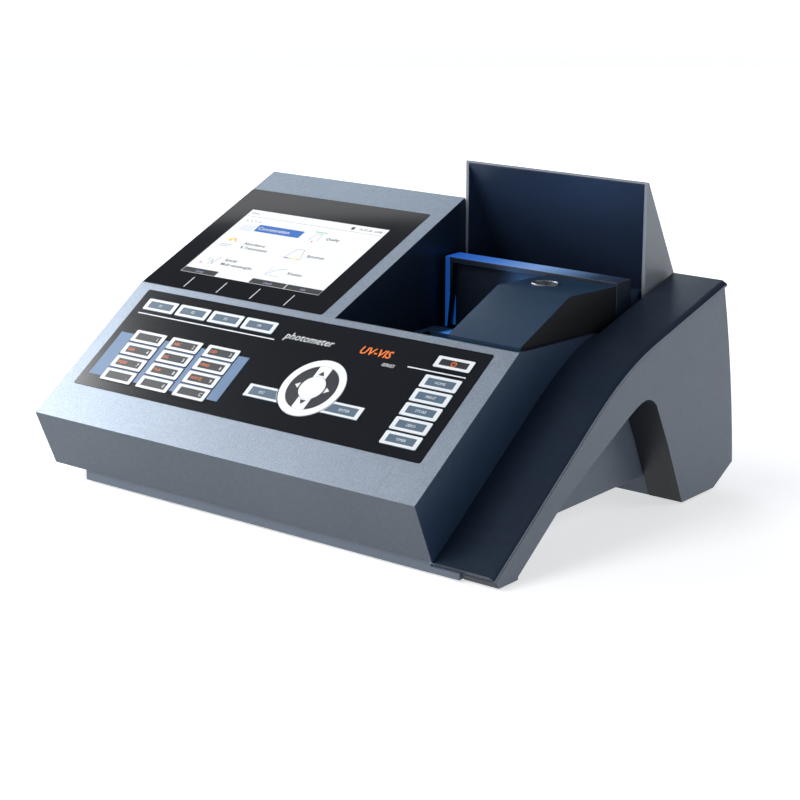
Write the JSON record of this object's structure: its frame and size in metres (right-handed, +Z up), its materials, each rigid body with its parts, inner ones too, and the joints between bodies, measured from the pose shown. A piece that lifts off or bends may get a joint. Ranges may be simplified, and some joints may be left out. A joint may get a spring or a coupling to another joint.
{
  "type": "benchtop spectrophotometer",
  "caption": "Wedge-shaped laboratory spectrophotometer with a sloping keyboard, tilted colour display, open cell compartment and a hinged lid.",
  "frame": {"origin": "on the bench, under the middle of the box round the whole instrument with its lid open", "axes": "+X to the operator's right, +Y to the rear, +Z up"},
  "size_m": [0.404, 0.3382, 0.2257],
  "materials": {
    "housing_blue": "satin metallic blue-silver paint on moulded plastic, fine sparkle",
    "housing_slate": "fine-textured slate blue moulded plastic",
    "overlay_black": "satin black keypad foil with printed rules",
    "glass_black": "gloss black display window",
    "screen": "lit colour display with a light menu",
    "key_white": "printed white, satin",
    "key_blue": "blue-grey key face with a white frame",
    "key_dark": "dark key face with a white frame",
    "lid_navy": "dark navy blue inside face, satin",
    "block_graphite": "soft-grained graphite moulded plastic",
    "steel": "bright turned and pressed steel",
    "rubber_foot": "matt black rubber",
    "circuit_board": "green solder mask with dark components",
    "cast_metal": "sand-blasted cast aluminium"
  },
  "bodies": {
    "root": {"upper_housing": "housing_blue", "lower_housing": "housing_slate", "right_side_panel": "housing_slate", "battery_cover": "housing_slate", "foot_front_left": "rubber_foot", "foot_front_right": "rubber_foot", "foot_rear_left": "rubber_foot", "foot_rear_right": "rubber_foot", "rear_panel": "block_graphite", "power_inlet": "overlay_black", "usb_a_port": "steel", "usb_b_port": "steel", "lan_port": "steel", "display_bezel": "glass_black", "lcd_screen": "screen", "keypad_overlay": "overlay_black", "keypad_board": "circuit_board", "nav_ring": "key_white", "nav_hub": "key_white", "compartment_floor": "lid_navy", "cell_block": "block_graphite", "round_cell_ring": "steel", "cell_holder": "block_graphite", "cell_collar": "lid_navy", "hinge_pin_left": "steel", "hinge_pin_right": "steel", "main_board": "circuit_board", "monochromator_housing": "cast_metal", "lamp_module": "cast_metal", "detector_module": "cast_metal"},
    "lid": {"cell_lid": "lid_navy"},
    "mains_rocker": {"power_switch": "overlay_black"},
    "key_f1_body": {"key_f1": "key_blue"},
    "key_f2_body": {"key_f2": "key_blue"},
    "key_f3_body": {"key_f3": "key_blue"},
    "key_f4_body": {"key_f4": "key_blue"},
    "key_1_body": {"key_1": "key_dark"},
    "key_2_body": {"key_2": "key_dark"},
    "key_3_body": {"key_3": "key_dark"},
    "key_4_body": {"key_4": "key_dark"},
    "key_5_body": {"key_5": "key_dark"},
    "key_6_body": {"key_6": "key_dark"},
    "key_7_body": {"key_7": "key_dark"},
    "key_8_body": {"key_8": "key_dark"},
    "key_9_body": {"key_9": "key_dark"},
    "key_point_body": {"key_point": "key_dark"},
    "key_0_body": {"key_0": "key_dark"},
    "key_clear_body": {"key_clear": "key_dark"},
    "key_home_body": {"key_home": "key_blue"},
    "key_print_body": {"key_print": "key_blue"},
    "key_store_body": {"key_store": "key_blue"},
    "key_zero_body": {"key_zero": "key_blue"},
    "key_timer_body": {"key_timer": "key_blue"},
    "key_power_body": {"key_power": "key_dark"},
    "key_escape_body": {"key_escape": "key_blue"},
    "key_enter_body": {"key_enter": "key_blue"},
    "key_right_body": {"key_right": "key_dark"},
    "key_up_body": {"key_up": "key_white"},
    "key_left_body": {"key_left": "key_dark"},
    "key_down_body": {"key_down": "key_white"}
  },
  "joints": [
    {"name": "lid_hinge", "type": "hinge", "parent": "root", "child": "lid", "pos_m": [0.073, 0.07004, 0.0981], "axis": [1, 0, 0], "range_deg": [0, 87.5]},
    {"name": "mains_rocker_pivot", "type": "hinge", "parent": "root", "child": "mains_rocker", "pos_m": [-0.158, 0.11814, 0.06515], "axis": [1, 0, 0], "range_deg": [0, 12]},
    {"name": "key_f1_travel", "type": "slide", "parent": "root", "child": "key_f1_body", "axis": [0, 0.5682, -0.8229], "range_m": [0, 0.0005], "stiffness_N_per_m": 200},
    {"name": "key_f2_travel", "type": "slide", "parent": "root", "child": "key_f2_body", "axis": [0, 0.5682, -0.8229], "range_m": [0, 0.0005], "stiffness_N_per_m": 200},
    {"name": "key_f3_travel", "type": "slide", "parent": "root", "child": "key_f3_body", "axis": [0, 0.5682, -0.8229], "range_m": [0, 0.0005], "stiffness_N_per_m": 200},
    {"name": "key_f4_travel", "type": "slide", "parent": "root", "child": "key_f4_body", "axis": [0, 0.5682, -0.8229], "range_m": [0, 0.0005], "stiffness_N_per_m": 200},
    {"name": "key_1_travel", "type": "slide", "parent": "root", "child": "key_1_body", "axis": [0, 0.5682, -0.8229], "range_m": [0, 0.0005], "stiffness_N_per_m": 200},
    {"name": "key_2_travel", "type": "slide", "parent": "root", "child": "key_2_body", "axis": [0, 0.5682, -0.8229], "range_m": [0, 0.0005], "stiffness_N_per_m": 200},
    {"name": "key_3_travel", "type": "slide", "parent": "root", "child": "key_3_body", "axis": [0, 0.5682, -0.8229], "range_m": [0, 0.0005], "stiffness_N_per_m": 200},
    {"name": "key_4_travel", "type": "slide", "parent": "root", "child": "key_4_body", "axis": [0, 0.5682, -0.8229], "range_m": [0, 0.0005], "stiffness_N_per_m": 200},
    {"name": "key_5_travel", "type": "slide", "parent": "root", "child": "key_5_body", "axis": [0, 0.5682, -0.8229], "range_m": [0, 0.0005], "stiffness_N_per_m": 200},
    {"name": "key_6_travel", "type": "slide", "parent": "root", "child": "key_6_body", "axis": [0, 0.5682, -0.8229], "range_m": [0, 0.0005], "stiffness_N_per_m": 200},
    {"name": "key_7_travel", "type": "slide", "parent": "root", "child": "key_7_body", "axis": [0, 0.5682, -0.8229], "range_m": [0, 0.0005], "stiffness_N_per_m": 200},
    {"name": "key_8_travel", "type": "slide", "parent": "root", "child": "key_8_body", "axis": [0, 0.5682, -0.8229], "range_m": [0, 0.0005], "stiffness_N_per_m": 200},
    {"name": "key_9_travel", "type": "slide", "parent": "root", "child": "key_9_body", "axis": [0, 0.5682, -0.8229], "range_m": [0, 0.0005], "stiffness_N_per_m": 200},
    {"name": "key_point_travel", "type": "slide", "parent": "root", "child": "key_point_body", "axis": [0, 0.5682, -0.8229], "range_m": [0, 0.0005], "stiffness_N_per_m": 200},
    {"name": "key_0_travel", "type": "slide", "parent": "root", "child": "key_0_body", "axis": [0, 0.5682, -0.8229], "range_m": [0, 0.0005], "stiffness_N_per_m": 200},
    {"name": "key_clear_travel", "type": "slide", "parent": "root", "child": "key_clear_body", "axis": [0, 0.5682, -0.8229], "range_m": [0, 0.0005], "stiffness_N_per_m": 200},
    {"name": "key_home_travel", "type": "slide", "parent": "root", "child": "key_home_body", "axis": [0, 0.5682, -0.8229], "range_m": [0, 0.0005], "stiffness_N_per_m": 200},
    {"name": "key_print_travel", "type": "slide", "parent": "root", "child": "key_print_body", "axis": [0, 0.5682, -0.8229], "range_m": [0, 0.0005], "stiffness_N_per_m": 200},
    {"name": "key_store_travel", "type": "slide", "parent": "root", "child": "key_store_body", "axis": [0, 0.5682, -0.8229], "range_m": [0, 0.0005], "stiffness_N_per_m": 200},
    {"name": "key_zero_travel", "type": "slide", "parent": "root", "child": "key_zero_body", "axis": [0, 0.5682, -0.8229], "range_m": [0, 0.0005], "stiffness_N_per_m": 200},
    {"name": "key_timer_travel", "type": "slide", "parent": "root", "child": "key_timer_body", "axis": [0, 0.5682, -0.8229], "range_m": [0, 0.0005], "stiffness_N_per_m": 200},
    {"name": "key_power_travel", "type": "slide", "parent": "root", "child": "key_power_body", "axis": [0, 0.5682, -0.8229], "range_m": [0, 0.0005], "stiffness_N_per_m": 200},
    {"name": "key_escape_travel", "type": "slide", "parent": "root", "child": "key_escape_body", "axis": [0, 0.5682, -0.8229], "range_m": [0, 0.0005], "stiffness_N_per_m": 200},
    {"name": "key_enter_travel", "type": "slide", "parent": "root", "child": "key_enter_body", "axis": [0, 0.5682, -0.8229], "range_m": [0, 0.0005], "stiffness_N_per_m": 200},
    {"name": "key_right_travel", "type": "slide", "parent": "root", "child": "key_right_body", "axis": [0, 0.5682, -0.8229], "range_m": [0, 0.0005], "stiffness_N_per_m": 200},
    {"name": "key_up_travel", "type": "slide", "parent": "root", "child": "key_up_body", "axis": [0, 0.5682, -0.8229], "range_m": [0, 0.0005], "stiffness_N_per_m": 200},
    {"name": "key_left_travel", "type": "slide", "parent": "root", "child": "key_left_body", "axis": [0, 0.5682, -0.8229], "range_m": [0, 0.0005], "stiffness_N_per_m": 200},
    {"name": "key_down_travel", "type": "slide", "parent": "root", "child": "key_down_body", "axis": [0, 0.5682, -0.8229], "range_m": [0, 0.0005], "stiffness_N_per_m": 200}
  ]
}
